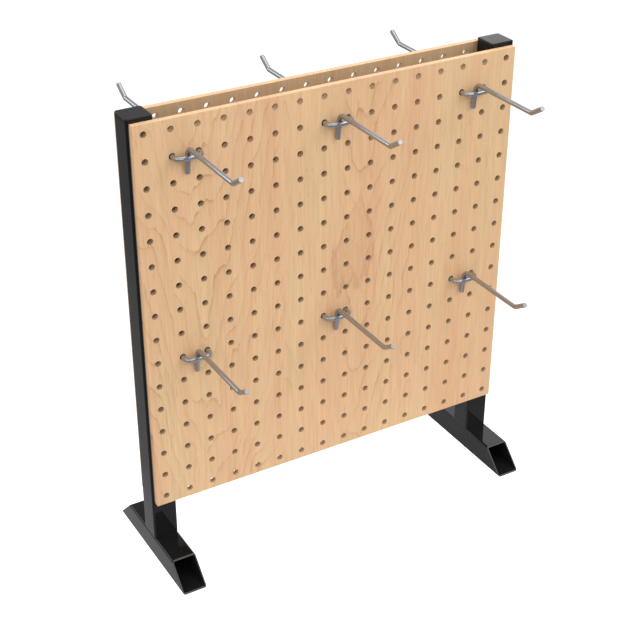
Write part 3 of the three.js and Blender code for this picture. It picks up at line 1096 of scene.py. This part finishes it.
camera_data = bpy.data.cameras.new("camera")
camera_data.lens = 80.05
camera_data.sensor_width = 36.0
camera_data.shift_x = -0.0008
camera_data.shift_y = 0.0008
camera = bpy.data.objects.new("camera", camera_data)
camera.location = CAMERA_PLACE
camera.rotation_euler = CAMERA_HEADING.to_track_quat("-Z", "Y").to_euler()
bpy.context.scene.collection.objects.link(camera)
bpy.context.scene.camera = camera
bpy.context.scene.view_settings.view_transform = "Standard"


# Floor and light

FLOOR_HALF = 12.0

floor_material = bpy.data.materials.new("studio_floor")
floor_material.use_nodes = True
floor_nodes = floor_material.node_tree.nodes
floor_links = floor_material.node_tree.links
floor_group = floor_nodes.new("NodeFrame")
floor_group.label = "Glowing backdrop"
floor_surface = floor_nodes["Principled BSDF"]
floor_surface.label = "Matt white sweep"
floor_surface.inputs["Base Color"].default_value = (0.2, 0.2, 0.2, 1)
floor_surface.inputs["Roughness"].default_value = 1.0
floor_surface.inputs["Specular IOR Level"].default_value = 0.0
floor_surface.inputs["Emission Color"].default_value = (1, 1, 1, 1)
floor_ray = floor_nodes.new("ShaderNodeLightPath")
floor_ray.label = "Lit from below where it is the backdrop"
floor_seen = floor_nodes.new("ShaderNodeMath")
floor_seen.label = "Bright to the eye"
floor_seen.operation = "MULTIPLY_ADD"
floor_seen.inputs[1].default_value = 0.9
floor_fill = floor_nodes.new("ShaderNodeMath")
floor_fill.label = "Fills the shade, with a dimmer mirror image"
floor_fill.operation = "MULTIPLY_ADD"
floor_fill.inputs[1].default_value = 0.3
floor_place = floor_nodes.new("ShaderNodeTexCoord")
floor_place.label = "Object coordinates"
floor_distance = floor_nodes.new("ShaderNodeVectorMath")
floor_distance.label = "Distance from the stand"
floor_distance.operation = "LENGTH"
floor_glow = floor_nodes.new("ShaderNodeValToRGB")
floor_glow.label = "Glow fades away from the stand"
floor_glow.color_ramp.elements[0].position = 0.2
floor_glow.color_ramp.elements[0].color = (0.46, 0.46, 0.46, 1)
floor_glow.color_ramp.elements[1].position = 0.9
floor_glow.color_ramp.elements[1].color = (0.02, 0.02, 0.02, 1)
floor_near = floor_glow.color_ramp.elements.new(0.3)
floor_near.color = (0.18, 0.18, 0.18, 1)
floor_links.new(floor_place.outputs["Object"], floor_distance.inputs[0])
floor_links.new(floor_distance.outputs["Value"], floor_glow.inputs["Fac"])
floor_links.new(floor_glow.outputs["Color"], floor_seen.inputs[2])
floor_links.new(floor_ray.outputs["Is Camera Ray"], floor_seen.inputs[0])
floor_links.new(floor_ray.outputs["Is Diffuse Ray"], floor_fill.inputs[0])
floor_links.new(floor_seen.outputs["Value"], floor_fill.inputs[2])
floor_links.new(floor_fill.outputs["Value"], floor_surface.inputs["Emission Strength"])
lay_out(((floor_group, (
    floor_place, floor_distance, floor_glow, floor_ray, floor_seen, floor_fill, floor_surface
)),))
floor_bm = bmesh.new()
bmesh.ops.create_grid(floor_bm, x_segments=1, y_segments=1, size=FLOOR_HALF)
floor_mesh = bpy.data.meshes.new("studio_floor")
floor_bm.to_mesh(floor_mesh)
floor_bm.free()
floor_mesh.materials.append(floor_material)
floor = bpy.data.objects.new("studio_floor", floor_mesh)
bpy.context.scene.collection.objects.link(floor)

world = bpy.data.worlds.new("studio")
world.use_nodes = True
sky_nodes = world.node_tree.nodes
sky_links = world.node_tree.links
sky_group = sky_nodes.new("NodeFrame")
sky_group.label = "White studio"
sky = sky_nodes["Background"]
sky.label = "Studio air"
sky.inputs["Color"].default_value = (1, 1, 1, 1)
sky_ray = sky_nodes.new("ShaderNodeLightPath")
sky_ray.label = "Kind of ray"
sky_fill = sky_nodes.new("ShaderNodeMath")
sky_fill.label = "Fills the shade, with a dimmer mirror image"
sky_fill.operation = "MULTIPLY_ADD"
sky_fill.inputs[1].default_value = 0.2
sky_seen = sky_nodes.new("ShaderNodeMath")
sky_seen.label = "White to the eye"
sky_seen.operation = "MULTIPLY_ADD"
sky_seen.inputs[1].default_value = 0.6
sky_seen.inputs[2].default_value = 0.5
sky_links.new(sky_ray.outputs["Is Camera Ray"], sky_seen.inputs[0])
sky_links.new(sky_seen.outputs["Value"], sky_fill.inputs[2])
sky_links.new(sky_ray.outputs["Is Diffuse Ray"], sky_fill.inputs[0])
sky_links.new(sky_fill.outputs["Value"], sky.inputs["Strength"])
lay_out(((sky_group, (sky_ray, sky_seen, sky_fill, sky)),))
bpy.context.scene.world = world


def softbox(name, place, target, size, power):
    light_data = bpy.data.lights.new(name, "AREA")
    light_data.shape = "RECTANGLE"
    light_data.size = size[0]
    light_data.size_y = size[1]
    light_data.energy = power
    light = bpy.data.objects.new(name, light_data)
    light.location = place
    light.rotation_euler = (Vector(target) - Vector(place)).to_track_quat("-Z", "Y").to_euler()
    bpy.context.scene.collection.objects.link(light)


softbox("key_softbox", (1.3, -1.95, 2.1), (0, 0, 0.25), (1.8, 1.1), 24.0)
softbox("front_softbox", (-0.8, -2.35, 2.0), (0, 0, 0.25), (1.1, 0.5), 9.0)
softbox("left_softbox", (-2.4, -0.8, 1.8), (0, 0, 0.25), (2.0, 2.0), 15.0)
softbox("back_softbox", (2.2, 2.1, 1.9), (0, 0, 0.3), (2.0, 1.8), 15.0)
softbox("top_softbox", (0.3, 0.3, 3.0), (0, 0, 0.3), (2.0, 2.0), 24.0)
softbox("edge_softbox", (-1.7, 2.6, 1.55), (0, 0, 0.25), (1.6, 1.6), 16.0)
